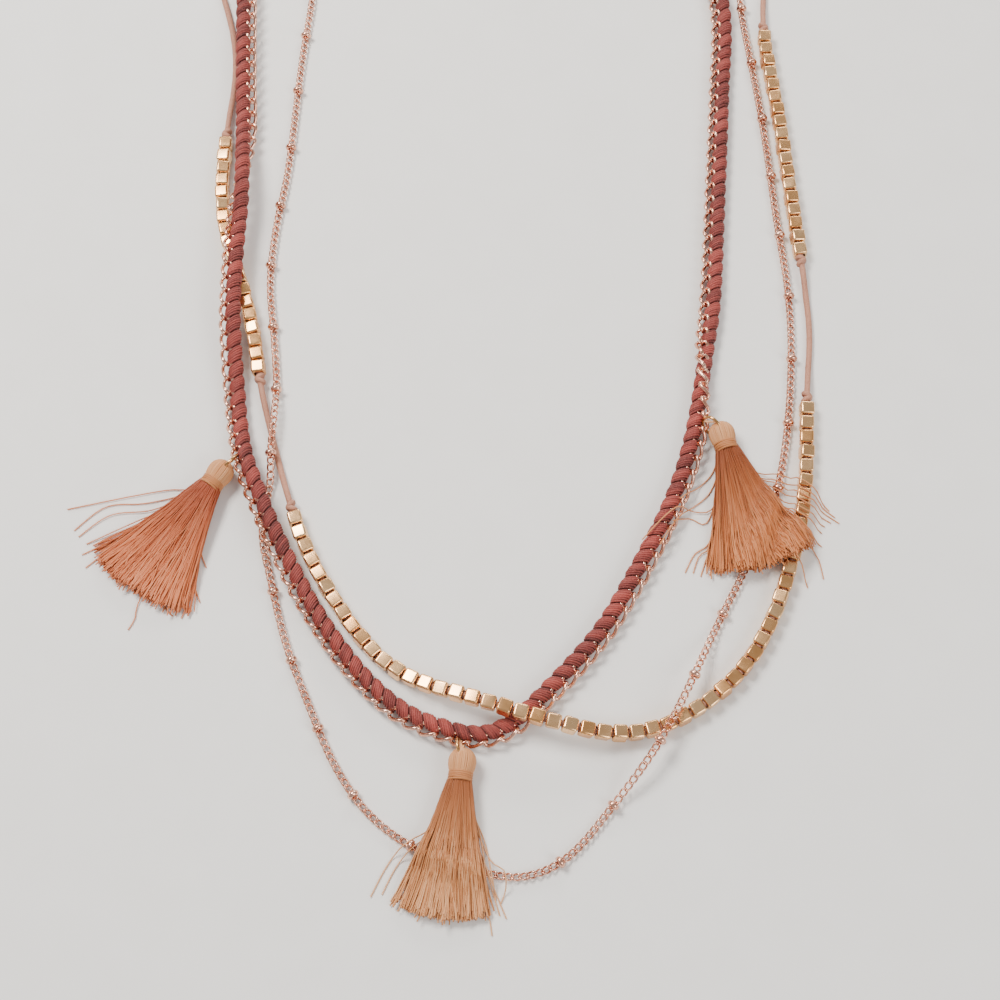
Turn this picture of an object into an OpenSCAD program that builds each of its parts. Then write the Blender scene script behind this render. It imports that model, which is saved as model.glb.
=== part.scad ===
/* [Wrapped rope] */
// Diameter of the rope over its wound floss
rope_d = 3.4; // [3.1:0.1:3.8]
// Half height of the groove that holds the side chain
groove_half = 1.28; // [1.25:0.01:1.3]

/* [Side chain] */
// Length of one link
link_length = 4.55; // [4.45:0.05:4.7]
// Width of one link
link_width = 2.6; // [2.5:0.05:2.7]
// Wire of a link, seen from above
link_wire = 0.5; // [0.4:0.02:0.52]
// Thickness of a link
link_thickness = 0.45; // [0.35:0.02:0.47]

/* [Cube beads] */
// Side of a cube bead
bead_size = 2.8; // [2.6:0.01:2.85]
// Bore of a bead
bead_bore = 2.0; // [1.9:0.05:2.2]
// Free space between two beads
bead_gap = 0.38; // [0.37:0.01:0.45]
// Largest turn of a bead on its cord, in degrees
bead_turn = 9; // [0:1:12]

/* [Bead cord] */
// Diameter of the waxed cord
cord_d = 1.3; // [1.0:0.05:1.4]
// Diameter of a knot in the cord
knot_d = 2.3; // [1.9:0.1:2.6]
// Length of a knot
knot_length = 2.0; // [1.6:0.1:2.4]

/* [Fine chain] */
// Width of the fine chain
fine_d = 1.7; // [1.4:0.1:1.8]

/* [Tassels] */
// Length from the top of the head to the hem
tassel_length = 31.5; // [27:0.5:34]
// Diameter of the wound head
head_d = 5.2; // [4.8:0.1:5.4]
// Diameter of the neck binding
neck_d = 4.4; // [3.8:0.1:4.8]
// Height of the skirt's pile at the neck
pile_neck = 3.2; // [2.6:0.1:3.6]
// Height of the skirt's pile at the hem
pile_hem = 2.6; // [2.2:0.1:3.2]

/* [Tassel rings] */
// Outer diameter of a tassel ring
ring_d = 4.9; // [4.8:0.05:5.3]
// Wire of a tassel ring
ring_wire = 0.6; // [0.5:0.05:0.65]

/* [Strand ends] */
// Wall of an end cap
cap_wall = 0.5; // [0.4:0.05:0.6]
// Depth of an end cap's cup
cap_depth = 4.5; // [3.5:0.1:5.0]
// Thickness of an end cap's eye
eye_thickness = 1.0; // [0.8:0.05:1.2]
// Outer diameter of a collector ring
collector_d = 8.0; // [7.6:0.1:9]
// Wire of a collector ring
collector_wire = 1.0; // [0.8:0.05:1.1]

/* [Back chain and clasp] */
// Length of one back link
back_length = 7.4; // [7:0.1:8]
// Width of one back link
back_width = 3.6; // [3.4:0.1:3.8]
// Wire of a back link
back_wire = 0.9; // [0.7:0.05:0.95]
// Length of the clasp's body
clasp_length = 11; // [10:0.5:12]
// Width of the clasp's body
clasp_width = 5.4; // [5.0:0.1:6.0]
// Thickness of the clasp's body
clasp_thickness = 1.2; // [1.0:0.1:1.4]
// Outer diameter of the ring that the clasp holds
clasp_ring_d = 4.6; // [4.5:0.1:4.7]

/* [Clearance] */
// Free space between pieces that lie on or pass through each other
gap = 0.15; // [0.12:0.01:0.2]

/* [Hidden] */

// The routes lie on the floor and run from the left end cap round the front to the right one
middle = [-7.87, 47.36];
left_gather = [-52, 159.5];
right_gather = [47, 159.5];
lead_near = 9;
function lead(gather, angle, distance) = gather + distance * [cos(angle), sin(angle)];
rope_route = [lead(left_gather, 255, lead_near), lead(left_gather, 255, 16),
    lead(left_gather, 255, 22), [-57.2, 119], [-56.3, 99], [-54.6, 70], [-55, 55.5], [-54.8, 37],
    [-52, 12.5], [-47.3, -1], [-42.8, -11], [-34.8, -25.5], [-25.7, -37.5], [-18, -44], [-11, -47],
    [-4, -48.5],
    [2, -46.3], [9.5, -39.3], [19.5, -27.8], [27, -15], [34.3, -0.5], [39, 14], [42.5, 32.5], [44.5, 44.5],
    [46.5, 68.5], [48.5, 94], [49.9, 118],
    lead(right_gather, 266, 22), lead(right_gather, 266, 16), lead(right_gather, 266, lead_near)];
bead_route = [lead(left_gather, 225, lead_near), lead(left_gather, 225, 17),
    lead(left_gather, 225, 21), [-65.5, 133], [-60.8, 117], [-58.3, 104], [-59.3, 84], [-59.5, 71],
    [-58.3, 60.5], [-54.6, 50], [-50.5, 35], [-49.3, 26], [-46, 13], [-40.8, -4.5], [-36.3, -15],
    [-29.4, -26], [-21.8, -35], [-13.5, -39.3], [-2, -43.2], [7.5, -46.2], [16.5, -48.3], [26, -48.6],
    [35.8, -44.7], [45.7, -37],
    [52.7, -26], [57.3, -13.5], [60.5, -1], [62, 13], [62.3, 21.5], [64.3, 37], [63.2, 55], [62, 71],
    [60.5, 91], [58.5, 110],
    [59.5, 124], [62, 136], lead(right_gather, 321, 21), lead(right_gather, 321, 17),
    lead(right_gather, 321, lead_near)];
chain_route = [lead(left_gather, 294, lead_near), lead(left_gather, 294, 15),
    lead(left_gather, 294, 21), [-42, 125], [-43.8, 104], [-45.6, 76.5], [-47.5, 62.5], [-48.2, 49],
    [-46.8, 36.5], [-45.6, 23], [-46, 12], [-46, 3], [-47.2, -7], [-45, -17], [-41.5, -30], [-36.5, -42.5],
    [-31, -54.5], [-24, -64], [-14, -70.8], [-2, -74.6], [5.5, -75], [13.3, -71], [21.5, -61.5], [29, -52],
    [35.5, -40.5], [42.5, -26], [49, -13.5], [54.3, -2], [57.2, 9], [59.2, 22], [60.3, 36], [60.2, 49],
    [59, 62.5], [58, 77.5], [57, 90.5], [55.5, 104.5], [54, 121],
    lead(right_gather, 293.5, 22), lead(right_gather, 293.5, 16), lead(right_gather, 293.5, lead_near)];

// Sizes that follow from the ones above
chain_half = (link_width - link_wire) / 2 * sin(45) + (link_wire + link_thickness) / 2 * sin(45);
chain_offset = rope_d / 2 - gap / 3;
link_pitch = link_length - 2 * link_wire - 2.3 * gap;
bead_half = bead_size / 2 * (cos(bead_turn) + sin(bead_turn));
bead_high = 2 * bead_half + gap;
cord_low = cord_d / 2;
ring_r = (ring_d - ring_wire) / 2;
collector_r = (collector_d - collector_wire) / 2;
clasp_ring_r = (clasp_ring_d - back_wire) / 2;
rope_bore = rope_d + 2 * gap;
cord_bore = cord_d + 3 * gap;
fine_bore = fine_d + 2 * gap;
end_z = max(rope_bore / 2 + cap_wall, back_width / 2) + gap;

// Point at share t of the way from b to c, on a curve that also heeds a and d
function bend(a, b, c, d, t) = (2 * b + (c - a) * t + (2 * a - 5 * b + 4 * c - d) * pow(t, 2)
    + (3 * b - a - 3 * c + d) * pow(t, 3)) / 2;
function smooth(route) = let (last = len(route) - 1) [
    for (i = [0 : last - 1]) for (k = [0 : 7])
        bend(route[max(i - 1, 0)], route[i], route[i + 1], route[min(i + 2, last)], k / 8),
    route[last]
];
// Distance from the first point of a line to each of its points
function distances(line) = [
    for (i = 0, s = 0; i < len(line); i = i + 1, s = s + (i < len(line) ? norm(line[i] - line[i - 1]) : 0))
        s
];
function total(list, i = 0) = i == len(list) ? 0 : list[i] + total(list, i + 1);
function unit(v) = v / norm(v);
// A table has a column of [distance, value] pairs for each number of its rows
function table(keys, rows) = [for (c = [0 : len(rows[0]) - 1])
    [for (i = [0 : len(keys) - 1]) [keys[i], rows[i][c]]]];
function at(columns, s) = [for (c = columns) lookup(s, c)];
function ends(columns) = columns[0][len(columns[0]) - 1][0];
// Value that eases from row to row of a list of [distance, value]
function ease(rows, s) = rows[0][1] + total([for (i = [0 : len(rows) - 2])
    let (t = min(1, max(0, (s - rows[i][0]) / (rows[i + 1][0] - rows[i][0]))))
    (rows[i + 1][1] - rows[i][1]) * t * t * (3 - 2 * t)]);

// A line's bends are rounded by taking the mean of three points on it, a reach apart
function rounded(line, reach) = let (columns = table(distances(line), line), length = ends(columns))
    [for (s = [0 : 2 : length - 1]) let (r = min(reach, s, length - s))
        (at(columns, s - r) + at(columns, s) + at(columns, s + r)) / 3, line[len(line) - 1]];
rope_line = rounded(smooth(rope_route), 2);
bead_line = rounded(smooth(bead_route), 5);
fine_line = rounded(smooth(chain_route), 2);
rope_plan = table(distances(rope_line), rope_line);
bead_plan = table(distances(bead_line), bead_line);
fine_plan = table(distances(fine_line), fine_line);
rope_length = ends(rope_plan);
bead_length = ends(bead_plan);
fine_length = ends(fine_plan);

// Side of the rope that the chain is on: 0 outside, 180 inside, reached over the top or under the rope
rope_turns = [[58, -180], [97, 0], [290.5, 0], [331.5, 180]];
// How far the rope is lifted by what runs under it, at distances along it
rope_lifts = [[0, end_z - rope_d / 2], [8, end_z - rope_d / 2], [20, cord_d + gap], [62, cord_d + gap],
    [89, bead_high], [110, bead_high], [130, 0], [136, 0], [148, fine_d + 2 * gap], [162, fine_d + 2 * gap],
    [177, 0], [rope_length - 20, 0], [rope_length - 8, end_z - rope_d / 2],
    [rope_length, end_z - rope_d / 2]];
// Heights of the other two strands' centres, raised where they pass over another one
bead_over = bead_half + rope_d + gap;
bead_heights = [[0, end_z], [7, end_z], [17, cord_low], [59.5, cord_low], [69.5, bead_half],
    [134.5, bead_half], [141.5, cord_low], [152, cord_low], [159.5, bead_half], [200.5, bead_half],
    [222, bead_over], [232, bead_over], [253.5, bead_half], [336.5, bead_half], [344, cord_low],
    [357.5, cord_low],
    [365, bead_half], [427.5, bead_half], [437, cord_low], [bead_length - 17, cord_low],
    [bead_length - 7, end_z], [bead_length, end_z]];
fine_low = fine_d / 2;
fine_over_cord = cord_d + 2 * gap + fine_low;
fine_over_beads = bead_high + gap + fine_low;
fine_heights = [[0, end_z], [7, end_z], [17, fine_low], [126, fine_low], [135, fine_over_cord],
    [144.3, fine_over_cord], [151.5, fine_low], [273, fine_low], [287, fine_over_beads],
    [302, fine_over_beads], [317, fine_low], [fine_length - 17, fine_low],
    [fine_length - 7, end_z], [fine_length, end_z]];
// Each run's start along the cord, its number of beads and the share of the gap between them
bead_runs = [[73.2, 19, 0.66], [162.5, 54, 1], [368.1, 18, 1]];

function rope_turn(s) = ease(rope_turns, s);
function rope_z(s) = ease(rope_lifts, s)
    + max(rope_d / 2, link_width / 2 + gap / 2 - chain_offset * sin(rope_turn(s)));
function rope_point(s) = concat(at(rope_plan, s), rope_z(s));
function bead_point(s) = concat(at(bead_plan, s), ease(bead_heights, s));
function fine_point(s) = concat(at(fine_plan, s), ease(fine_heights, s));
// Outward and upward directions square to a line that passes two points
function outward(a, b) = unit(cross(b - a, [0, 0, 1]));
function upward(a, b) = unit(cross(outward(a, b), b - a));

// Rings of points round a line, joined to a closed skin
module skin(rings) {
    n = len(rings[0]);
    m = len(rings);
    polyhedron(
        points = [for (ring = rings) each ring],
        faces = [
            [for (i = [n - 1 : -1 : 0]) i],
            [for (i = [0 : n - 1]) (m - 1) * n + i],
            for (j = [0 : m - 2]) for (i = [0 : n - 1])
                [j * n + i, (j + 1) * n + (i + 1) % n, (j + 1) * n + i],
            for (j = [0 : m - 2]) for (i = [0 : n - 1])
                [j * n + i, j * n + (i + 1) % n, (j + 1) * n + (i + 1) % n]
        ]
    );
}
// Round tube of eight sides through centre points, with a radius for each
module tube(centres, radii) {
    last = len(centres) - 1;
    skin([for (i = [0 : last])
        let (a = centres[max(i - 1, 0)], b = centres[min(i + 1, last)])
        [for (k = [0 : 7]) centres[i]
            + radii[i] * (cos(45 * k) * outward(a, b) + sin(45 * k) * upward(a, b))]]);
}
module placed() translate([-middle.x, -middle.y, 0]) children();
// Puts a piece that lies along X at a point, its length along one direction and its side along another
module along(point, forward, side) {
    x = unit(forward);
    y = unit(side - (side * x) * x);
    z = cross(x, y);
    multmatrix([
        [x.x, y.x, z.x, point.x],
        [x.y, y.y, z.y, point.y],
        [x.z, y.z, z.z, point.z],
        [0, 0, 0, 1]
    ]) children();
}

// The rope's rings of points are closer together where it bends or its chain changes sides
function heading(s) = unit(rope_point(min(rope_length, s + 1)) - rope_point(max(0, s - 1)));
function tight(s) = heading(s) * heading(s + 7) < cos(10) || heading(s) * heading(s + 3.5) < cos(5)
    || abs(rope_turn(s + 7) - rope_turn(s)) > 8;
cup_end = cap_depth + 2 * gap;
rope_last = rope_length - cup_end;
rope_places = [0, for (s = cup_end; s < rope_last - rope_d / 2; s = s + rope_d * (tight(s) ? 1.05 : 2.25))
    s, rope_last, rope_length];
rope_frames = [for (s = rope_places)
    let (a = rope_point(max(0, s - 1)), b = rope_point(min(rope_length, s + 1)), t = rope_turn(s))
    [rope_point(s), cos(t) * outward(a, b) + sin(t) * upward(a, b),
        cos(t) * upward(a, b) - sin(t) * outward(a, b)]];
// The rope's section is a round with a groove that the inner half of the chain lies in
lip = rope_d / 2 * 0.6;
lip_angle = acos(lip / (rope_d / 2));
groove_floor = chain_offset - chain_half - 2.4 * gap;
rope_section = concat(
    [for (k = [0 : 10]) let (a = lip_angle + k * (360 - 2 * lip_angle) / 10) rope_d / 2 * [cos(a), sin(a)]],
    [[lip, -groove_half], [groove_floor, -groove_half], [groove_floor, groove_half], [lip, groove_half]]
);

module wrapped_rope() {
    color("rosybrown") placed()
        skin([for (f = rope_frames) [for (p = rope_section) f[0] + p[0] * f[1] + p[1] * f[2]]]);
}

// The chain's own line runs beside the rope's, and its links are spaced along it
chain_line = [for (f = rope_frames) f[0] + chain_offset * f[1]];
chain_keys = distances(chain_line);
chain_columns = table(chain_keys, [for (i = [0 : len(chain_line) - 1])
    concat(chain_line[i], rope_frames[i][1])]);
chain_start = cap_depth + 2.6;
link_count = floor((ends(chain_columns) - 2 * chain_start) / link_pitch);
function link_end(i) = [for (v = at(chain_columns, chain_start + i * link_pitch)) v];
function first_three(v) = [v[0], v[1], v[2]];
function last_three(v) = [v[3], v[4], v[5]];
function link_centre(i) = (first_three(link_end(i)) + first_three(link_end(i + 1))) / 2;
// Oval of sixteen points with full ends
function oval(length, width) = [for (k = [0 : 15]) let (c = cos(k * 22.5), s = sin(k * 22.5))
    [sign(c) * pow(abs(c), 0.6) * length / 2, sign(s) * pow(abs(s), 0.6) * width / 2]];

module link() {
    translate([0, 0, -link_thickness / 2]) linear_extrude(link_thickness) difference() {
        polygon(oval(link_length, link_width));
        polygon(oval(link_length - 2 * link_wire, link_width - 2 * link_wire));
    }
}
module side_chain() {
    color("tan") placed() for (i = [0 : link_count - 1])
        along(link_centre(i), first_three(link_end(i + 1)) - first_three(link_end(i)),
            last_three(link_end(i)) + last_three(link_end(i + 1)))
            rotate([i % 2 == 0 ? -45 : 45, 0, 0]) link();
}

// Knots close both ends of each run of beads
function pitch(run) = bead_size + bead_gap * run[2];
function run_end(run) = run[0] + run[1] * pitch(run);
knot_reach = knot_length / 2 + gap;
knot_places = [for (run = bead_runs) each [run[0] - knot_reach, run_end(run) + knot_reach]];
function in_run(s) = len([for (run = bead_runs)
    if (s > run[0] - knot_length - 3 && s < run_end(run) + knot_length + 3) 1]) > 0;
cord_last = bead_length - cup_end;
bare_places = [0, for (s = [cup_end : 7 : cord_last - 2]) if (!in_run(s)) s, cord_last];
function bent(s) =
    norm((bead_point(s - bead_size) + bead_point(s + bead_size)) / 2 - bead_point(s)) > gap / 2;
run_places = [for (run = bead_runs) each concat(
    [run[0] - knot_length - gap, run[0] - knot_length * 0.75, run[0] - knot_length * 0.25 - gap],
    [for (k = [0 : run[1] - 1]) if (k % 2 == 0 || bent(run[0] + k * pitch(run))) run[0] + k * pitch(run)],
    [run_end(run), run_end(run) + knot_length * 0.25 + gap, run_end(run) + knot_length * 0.75,
        run_end(run) + knot_length + gap])];
function sorted(list) = len(list) == 0 ? [] : let (pivot = list[floor(len(list) / 2)]) concat(
    sorted([for (v = list) if (v < pivot) v]), [for (v = list) if (v == pivot) v],
    sorted([for (v = list) if (v > pivot) v]));
cord_places = sorted(concat(bare_places, run_places, [bead_length]));
function knot_share(s) = max([for (k = knot_places) abs(s - k) < knot_length * 0.4 ? 1 : 0]);

module bead_cord() {
    color("rosybrown") placed() tube([for (s = cord_places) bead_point(s)],
        [for (s = cord_places) (cord_d + (knot_d - cord_d) * knot_share(s)) / 2]);
}

module bead() {
    difference() {
        intersection() {
            cube(bead_size, center = true);
            sphere(r = bead_size * 0.8, $fn = 40);
        }
        rotate([0, 90, 0]) cylinder(h = bead_size * 2, d = bead_bore, center = true, $fn = 40);
    }
}
turn_pattern = [0.3, -1, 0.6, 0, -0.5, 1, -0.2];
module cube_beads() {
    color("peru") placed() for (run = bead_runs) for (k = [0 : run[1] - 1]) {
        a = bead_point(run[0] + k * pitch(run));
        b = bead_point(run[0] + (k + 1) * pitch(run));
        along((a + b) / 2, b - a, outward(a, b)) rotate([turn_pattern[k % 7] * bead_turn, 0, 0]) bead();
    }
}

module fine_chain() {
    bare = fine_length - 2 * cup_end;
    pieces = floor(bare / 6.6);
    places = [0, for (k = [0 : pieces]) cup_end + k * bare / pieces, fine_length];
    color("rosybrown") placed() tube([for (s = places) fine_point(s)], [for (s = places) fine_d / 2]);
}

// Each ring: place along the rope of the link it hangs on, its direction, the side it leans to, how far
left_hang = [143.4, 229, 1, 70];
centre_hang = [219, -84, -1, 72];
right_hang = [300.5, -37, 1, 72];
ring_bite = 0.5;
chain_by_rope = [for (i = [0 : len(chain_keys) - 1]) [rope_places[i], chain_keys[i]]];
function hung_link(hang) = round((lookup(hang[0], chain_by_rope) - chain_start) / link_pitch - 0.5);
function hung_point(hang) = link_centre(hung_link(hang));
// The ring runs from its link to the middle of the tassel's head
function ring_run(hang) = let (rise = asin((head_d * 0.65 - hung_point(hang).z) / (2 * ring_r)))
    [cos(rise) * cos(hang[1]), cos(rise) * sin(hang[1]), sin(rise)];
function ring_centre(hang) = hung_point(hang) + (ring_r + gap / 2) * ring_run(hang);
function ring_lean(hang) = min(hang[3], asin(min(1, (ring_centre(hang).z - ring_wire / 2 - gap) / ring_r)));
function head_point(hang) = ring_centre(hang) + (ring_r + ring_bite) * ring_run(hang);

module torus(r, wire, around = 48, section = 16) {
    rotate_extrude($fn = around) translate([r, 0]) circle(d = wire, $fn = section);
}
module hung_ring(hang, wire, around = 48, section = 16) {
    across = outward([0, 0, 0], ring_run(hang));
    along(ring_centre(hang), ring_run(hang), across)
        rotate([hang[2] * ring_lean(hang), 0, 0]) torus(ring_r, wire, around, section);
}

// Top of the strands that a lock of hair passes over at a point of the floor, or 0 on the bare floor
function ridden(point, reach) =
    max(0, ridden_fine(point, fine_d / 2 + reach), ridden_beads(point, bead_half + reach));
function flat(point) = [point.x, point.y];
function ridden_fine(point, reach) = max([0, for (s = [225 : 1.5 : 375])
    if (norm(flat(fine_point(s)) - point) < reach) fine_point(s).z + fine_d / 2 + gap]);
function ridden_beads(point, reach) = max([0, for (s = [290 : 1.5 : 335])
    if (norm(flat(bead_point(s)) - point) < reach) bead_point(s).z + bead_half + gap]);
// A lock runs through sections at shares of the skirt's length, each resting on what lies below it
lock_places = [0.1, 0.4, 0.56, 0.74, 1];
function lock_section(place, width, height) = [for (k = [0 : 5])
    place + [0, -width / 2 * cos(60 * k + 30), height / 2 * sin(60 * k + 30)]];
module lock(head, heading, spread, reach, layer) {
    last = len(lock_places) - 1;
    function along_lock(t) = [t * reach, spread * (0.2 + 0.8 * t)];
    function on_floor(p) = head + p.x * [cos(heading), sin(heading)] + p.y * [-sin(heading), cos(heading)];
    function ride(t) = ridden(on_floor(along_lock(t)), 1.3 + t);
    skin([for (k = [0 : last])
        let (t = lock_places[k], before = lock_places[max(0, k - 1)], after = lock_places[min(last, k + 1)],
            height = t * pile_hem + (1 - t) * pile_neck,
            lift = max(ride(t), ride((t + before) / 2), ride((t + after) / 2), (1 - t) * 0.8))
        lock_section(concat(along_lock(t), height * (0.35 + 0.35 * layer) + lift), 1.8 + 2.2 * t,
            height * 0.7)]);
}
module tassel(hang, heading, half_hem) {
    head = head_point(hang);
    reach = tassel_length - head_d / 2;
    difference() {
        union() {
            translate([head.x, head.y, head_d / 2]) sphere(d = head_d, $fn = 16);
            translate([head.x, head.y, 0]) rotate([0, 0, heading]) {
                translate([head_d * 0.4, 0, head_d / 2]) rotate([0, 90, 0])
                    cylinder(h = 1.6, d = neck_d, $fn = 12);
                for (layer = [0, 1]) for (k = [0 : 5 - layer]) {
                    u = (k + layer / 2) / 2.5 - 1;
                    even = 1 - 0.05 * u * u - (k % 2) * 0.02;
                    lock(flat(head), heading, u * half_hem, reach * even, layer);
                }
            }
        }
        hung_ring(hang, ring_wire + 2.4 * gap, 24, 8);
    }
}
module tassel_left() color("burlywood") placed() tassel(left_hang, 237, 10);
module tassel_centre() color("burlywood") placed() tassel(centre_hang, 263, 8.5);
module tassel_right() color("burlywood") placed() tassel(right_hang, 284, 9.5);
module ring_left() color("tan") placed() hung_ring(left_hang, ring_wire);
module ring_centre_piece() color("tan") placed() hung_ring(centre_hang, ring_wire);
module ring_right() color("tan") placed() hung_ring(right_hang, ring_wire);

// The collector rings lie where the three strands of a side come together
left_collector = concat(left_gather, end_z);
right_collector = concat(right_gather, end_z);
// A cap's cup takes the strand's end, and its eye stands on the ring
module cap(point, ring_place, bore) {
    toward = ring_place - point;
    eye_reach = norm(toward) - collector_r;
    along(point, toward, outward(point, ring_place)) difference() {
        union() {
            translate([-cap_depth, 0, 0]) rotate([0, 90, 0])
                cylinder(h = cap_depth + gap + cap_wall, d = bore + 2 * cap_wall, $fn = 40);
            translate([0, -eye_thickness / 2, -collector_wire])
                cube([eye_reach, eye_thickness, 2 * collector_wire]);
            translate([eye_reach, 0, 0]) rotate([90, 0, 0])
                cylinder(h = eye_thickness, r = collector_wire, center = true, $fn = 32);
        }
        translate([-cap_depth - 1, 0, 0]) rotate([0, 90, 0])
            cylinder(h = cap_depth + 1 + gap, d = bore, $fn = 40);
        translate([eye_reach, 0, 0]) rotate([90, 0, 0])
            cylinder(h = 2 * eye_thickness, d = collector_wire + 2.6 * gap, center = true, $fn = 32);
    }
}
module rope_cap_left() color("tan") placed() cap(rope_point(0), left_collector, rope_bore);
module cord_cap_left() color("tan") placed() cap(bead_point(0), left_collector, cord_bore);
module chain_cap_left() color("tan") placed() cap(fine_point(0), left_collector, fine_bore);
module rope_cap_right() color("tan") placed() cap(rope_point(rope_length), right_collector, rope_bore);
module cord_cap_right() color("tan") placed() cap(bead_point(bead_length), right_collector, cord_bore);
module chain_cap_right() color("tan") placed() cap(fine_point(fine_length), right_collector, fine_bore);
module collector(middle_of_ring) placed() translate(middle_of_ring) torus(collector_r, collector_wire);
module collector_left() color("tan") collector(left_collector);
module collector_right() color("tan") collector(right_collector);

// The back chain and clasp lie on an arc between the collector rings, as long as the pieces on it
left_links = 9;
right_links = 8;
back_pitch = back_length - 2 * back_wire - 2.8 * gap;
hook_in = collector_r - collector_wire / 2 - 1.3 * gap - back_wire + back_length / 2;
eye_r = back_wire / 2 + 3.6 * gap;
eye_wall = 0.9;
clasp_from = hook_in + (left_links - 1) * back_pitch + back_length / 2 - back_wire / 2;
clasp_to = clasp_from - eye_r - eye_wall + clasp_length;
ring_from = clasp_to - eye_wall - 2 * gap - back_wire / 2 + clasp_ring_r;
back_run = ring_from + clasp_ring_r - back_wire / 2 - 1.6 * gap - back_wire + back_length / 2
    + (right_links - 1) * back_pitch + hook_in;
back_chord = right_collector - left_collector;
// Half angle of the arc, found by halving the range that holds it
function half_angle(share, low, high, steps) = let (mid = (low + high) / 2)
    steps == 0 ? mid : sin(mid) / (mid * PI / 180) > share
    ? half_angle(share, mid, high, steps - 1) : half_angle(share, low, mid, steps - 1);
back_angle = half_angle(norm(back_chord) / back_run, 0.1, 120, 30);
back_radius = norm(back_chord) / 2 / sin(back_angle);
back_centre = (left_collector + right_collector) / 2 - [0, back_radius * cos(back_angle), 0];
function back_point(s) = let (a = 90 + back_angle * (1 - 2 * s / back_run))
    back_centre + back_radius * [cos(a), sin(a), 0];
function back_forward(s) = back_point(s + 1) - back_point(s - 1);

module back_link(upright) {
    rotate([upright ? 90 : 0, 0, 0]) translate([0, 0, -back_wire / 2]) linear_extrude(back_wire)
        difference() {
            stadium(back_length, back_width);
            stadium(back_length - 2 * back_wire, back_width - 2 * back_wire);
        }
}
module stadium(length, width) {
    square([length - width, width], center = true);
    for (x = [-1, 1]) translate([x * (length - width) / 2, 0]) circle(d = width, $fn = 40);
}
module back_piece(s) along(back_point(s), back_forward(s), [0, 0, 1]) rotate([-90, 0, 0]) children();
module back_chain_left() color("tan") placed() for (k = [0 : left_links - 1])
    back_piece(hook_in + k * back_pitch) back_link(k % 2 == 0);
module back_chain_right() color("tan") placed() for (k = [0 : right_links - 1])
    back_piece(back_run - hook_in - k * back_pitch) back_link(k % 2 == 0);
// The clasp is one flat piece with an eye for the chain and a closed mouth that the ring passes through
module clasp() {
    mouth = clasp_length * 0.45;
    color("tan") placed() back_piece(clasp_to - clasp_length / 2)
        translate([0, 0, -clasp_thickness / 2]) linear_extrude(clasp_thickness) difference() {
            union() {
                stadium(clasp_length, clasp_width * 0.72);
                translate([clasp_length * 0.12, 0]) stadium(clasp_length * 0.76, clasp_width);
            }
            translate([eye_r + eye_wall - clasp_length / 2, 0]) circle(r = eye_r, $fn = 32);
            translate([clasp_length / 2 - eye_wall - mouth / 2, 0])
                stadium(mouth, clasp_width - 2.6 * eye_wall);
        }
}
module clasp_ring() color("tan") placed()
    back_piece(ring_from) rotate([90, 0, 0]) torus(clasp_ring_r, back_wire);

wrapped_rope();
side_chain();
bead_cord();
cube_beads();
fine_chain();
tassel_left();
tassel_centre();
tassel_right();
ring_left();
ring_centre_piece();  // ring_centre
ring_right();
rope_cap_left();
cord_cap_left();
chain_cap_left();
rope_cap_right();
cord_cap_right();
chain_cap_right();
collector_left();
collector_right();
back_chain_left();
back_chain_right();
clasp();
clasp_ring();
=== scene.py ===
import math
import random

import bmesh
import bpy
import numpy as np
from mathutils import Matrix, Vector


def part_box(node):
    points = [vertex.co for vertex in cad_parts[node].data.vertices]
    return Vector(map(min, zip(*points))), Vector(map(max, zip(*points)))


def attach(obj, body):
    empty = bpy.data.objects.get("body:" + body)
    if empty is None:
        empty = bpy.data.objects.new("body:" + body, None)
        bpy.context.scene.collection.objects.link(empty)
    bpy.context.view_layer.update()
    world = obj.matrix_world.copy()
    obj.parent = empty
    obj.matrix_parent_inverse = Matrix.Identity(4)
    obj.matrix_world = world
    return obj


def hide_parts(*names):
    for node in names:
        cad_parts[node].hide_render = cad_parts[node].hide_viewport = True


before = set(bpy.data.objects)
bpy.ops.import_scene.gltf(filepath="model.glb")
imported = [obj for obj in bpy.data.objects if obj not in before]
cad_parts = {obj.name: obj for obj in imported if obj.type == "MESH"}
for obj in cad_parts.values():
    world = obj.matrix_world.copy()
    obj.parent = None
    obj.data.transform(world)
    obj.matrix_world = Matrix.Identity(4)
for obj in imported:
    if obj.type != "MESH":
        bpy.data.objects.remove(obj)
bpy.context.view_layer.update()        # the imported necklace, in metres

mm = 0.001
print("necklace frame loaded")


# Camera, light and floor

viewpoint = {"place": (0.00787, -0.18226, 0.3338), "tilt": 22, "lens": 64.8, "sensor": 36,
             "clip": (0.01, 20)}
studio = {"skyStrength": 0.5, "skyColour": (0.96, 0.97, 1, 1), "floorSize": 3}
softboxes = {
    "keySoftbox": {"place": (-0.35, 0.25, 0.65), "size": (0.35, 0.25), "power": 9.0,
                   "colour": (1, 0.97, 0.93)},
    "fillSoftbox": {"place": (0.5, -0.45, 0.5), "size": (0.4, 0.4), "power": 3.6,
                    "colour": (1, 0.98, 0.96)},
    "backSoftbox": {"place": (0.15, 0.7, 0.35), "size": (0.5, 0.15), "power": 3.0,
                    "colour": (1, 0.98, 0.95)},
}


def placed(name, data):      # an object of this data, in the scene
    made = bpy.data.objects.new(name, data)
    bpy.context.scene.collection.objects.link(made)
    return made


def addCamera():
    data = bpy.data.cameras.new("viewCamera")
    data.lens, data.sensor_width = viewpoint["lens"], viewpoint["sensor"]
    data.clip_start, data.clip_end = viewpoint["clip"]
    camera = placed("viewCamera", data)
    camera.location = viewpoint["place"]
    camera.rotation_euler = (math.radians(viewpoint["tilt"]), 0, 0)
    bpy.context.scene.camera = camera


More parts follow.
